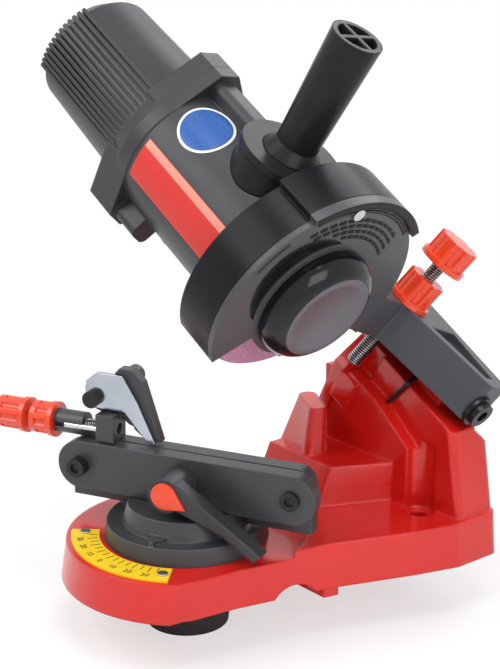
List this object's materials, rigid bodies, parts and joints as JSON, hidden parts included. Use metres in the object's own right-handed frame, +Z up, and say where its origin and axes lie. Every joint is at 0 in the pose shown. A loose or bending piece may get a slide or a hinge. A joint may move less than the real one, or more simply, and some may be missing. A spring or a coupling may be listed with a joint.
{
  "type": "saw chain grinder",
  "caption": "Bench-mounted electric saw chain grinder: a tilted motor with guarded abrasive wheel swings on a sprung arm over a swivelling chain vise with a stop and angle scale.",
  "frame": {"origin": "middle of the two bench bolt holes, on the bench plane", "axes": "+X to the operator's right along the bolt row, +Y to the rear (hinge side), +Z up"},
  "size_m": [0.2215, 0.2143, 0.3141],
  "materials": {
    "red_paint": "gloss",
    "yellow_plate": "satin",
    "zinc_steel": "bright",
    "black_steel": "black oxide",
    "black_casting": "satin",
    "grey_casting": "satin",
    "black_plastic": "fine texture",
    "satin_guard": "satin",
    "gloss_cap": "gloss",
    "red_plastic": "gloss",
    "switch_red": "gloss",
    "bearing_steel": "ground",
    "plain_aluminium": "cast",
    "pink_abrasive": "coarse grit"
  },
  "bodies": {
    "base": {"base_casting": "red_paint", "scale_plate": "yellow_plate", "scale_screws": "zinc_steel", "return_spring": "black_steel"},
    "vise": {"turntable": "black_casting", "swivel_stud": "zinc_steel", "fixed_jaw": "black_casting", "jaw_bolts": "black_steel", "clamp_nut": "zinc_steel", "stop_bracket": "black_casting"},
    "swivel_lock": {"swivel_knob": "black_plastic"},
    "clamp_lever": {"clamp_lever": "black_plastic", "lever_insert": "red_plastic", "clamp_stud": "zinc_steel"},
    "moving_jaw": {"moving_jaw": "black_casting"},
    "stop_adjuster": {"stop_screw": "zinc_steel", "stop_knob": "red_plastic"},
    "stop_lock": {"stop_lock_knob": "red_plastic"},
    "stop_carriage": {"stop_carriage": "black_casting", "guide_rods": "zinc_steel", "pawl_pin": "black_steel"},
    "pawl": {"pawl": "zinc_steel"},
    "head": {"arm": "grey_casting", "hinge_bolt": "black_steel", "hinge_washer": "black_steel", "motor_housing": "black_plastic", "motor_cap": "black_plastic", "cap_screws": "black_steel", "rear_bearing_plate": "plain_aluminium", "bearings": "bearing_steel", "stator": "bearing_steel", "wheel_guard": "satin_guard", "guard_cover": "satin_guard", "hub_cap": "gloss_cap", "cover_screws": "zinc_steel", "handle_base": "black_plastic", "handle": "black_plastic", "switch_frame": "black_plastic", "cable_inlet": "black_plastic"},
    "spindle": {"shaft": "bearing_steel", "rotor": "bearing_steel", "fan": "black_plastic", "wheel_flange": "bearing_steel", "grinding_wheel": "pink_abrasive", "wheel_nut": "bearing_steel"},
    "depth_screw": {"depth_screw": "zinc_steel"},
    "depth_knob": {"depth_knob": "red_plastic"},
    "depth_lock": {"depth_lock_knob": "red_plastic"},
    "switch": {"switch_rocker": "switch_red"}
  },
  "joints": [
    {"name": "vise_swivel", "type": "hinge", "parent": "base", "child": "vise", "pos_m": [-0.023, -0.106, 0], "axis": [0, 0, 1], "range_deg": [-61, 9]},
    {"name": "swivel_lock", "type": "hinge", "parent": "vise", "child": "swivel_lock", "pos_m": [-0.023, -0.106, -0.01], "axis": [0, 0, 1], "range_deg": [-90, 90]},
    {"name": "clamp_lever_turn", "type": "hinge", "parent": "vise", "child": "clamp_lever", "pos_m": [-0.01463, -0.11861, 0.052], "axis": [0.4384, -0.8988, 0], "range_deg": [0, 60]},
    {"name": "jaw_close", "type": "slide", "parent": "vise", "child": "moving_jaw", "axis": [-0.4384, 0.8988, 0], "range_m": [0, 0.0008]},
    {"name": "stop_adjust", "type": "hinge", "parent": "vise", "child": "stop_adjuster", "pos_m": [-0.11288, -0.14984, 0.0715], "axis": [0.8988, 0.4384, 0], "range_deg": [-1153, 1153]},
    {"name": "stop_carriage_slide", "type": "slide", "parent": "vise", "child": "stop_carriage", "axis": [0.8988, 0.4384, 0], "range_m": [-0.004, 0.004]},
    {"name": "stop_lock_turn", "type": "hinge", "parent": "vise", "child": "stop_lock", "pos_m": [-0.0949, -0.14107, 0.0715], "axis": [0.8988, 0.4384, 0], "range_deg": [-90, 90]},
    {"name": "pawl_flip", "type": "hinge", "parent": "stop_carriage", "child": "pawl", "pos_m": [-0.06974, -0.12879, 0.087], "axis": [0.4384, -0.8988, 0], "range_deg": [0, 120]},
    {"name": "head_swing", "type": "hinge", "parent": "base", "child": "head", "pos_m": [0.00485, 0.0193, 0.11324], "axis": [0.866, 0, -0.5], "range_deg": [0, 29], "stiffness_Nm_per_rad": 3, "springref_deg": -91.67},
    {"name": "spindle_spin", "type": "hinge", "parent": "head", "child": "spindle", "pos_m": [0.03336, -0.08161, 0.16262], "axis": [0.866, 0, -0.5], "continuous": true},
    {"name": "depth_screw_slide", "type": "slide", "parent": "head", "child": "depth_screw", "axis": [0.4455, 0.454, 0.7716], "range_m": [-0.002, 0.006]},
    {"name": "depth_knob_turn", "type": "hinge", "parent": "depth_screw", "child": "depth_knob", "pos_m": [0.0319, 0.02667, 0.15808], "axis": [0.4455, 0.454, 0.7716], "range_deg": [-577, 1729]},
    {"name": "depth_lock_turn", "type": "hinge", "parent": "head", "child": "depth_lock", "pos_m": [0.02031, 0.01487, 0.13802], "axis": [0.4455, 0.454, 0.7716], "range_deg": [-90, 90]},
    {"name": "switch_rock", "type": "hinge", "parent": "head", "child": "switch", "pos_m": [-0.04626, -0.05262, 0.17271], "axis": [0.341, 0.7314, 0.5906], "range_deg": [-8, 8]}
  ],
  "couplings": [
    {"joint": "clamp_lever_turn", "follows": "jaw_close", "rad_per_m": 1308.9},
    {"joint": "stop_adjust", "follows": "stop_carriage_slide", "rad_per_m": 5026.5},
    {"joint": "depth_knob_turn", "follows": "depth_screw_slide", "rad_per_m": 5026.5}
  ]
}
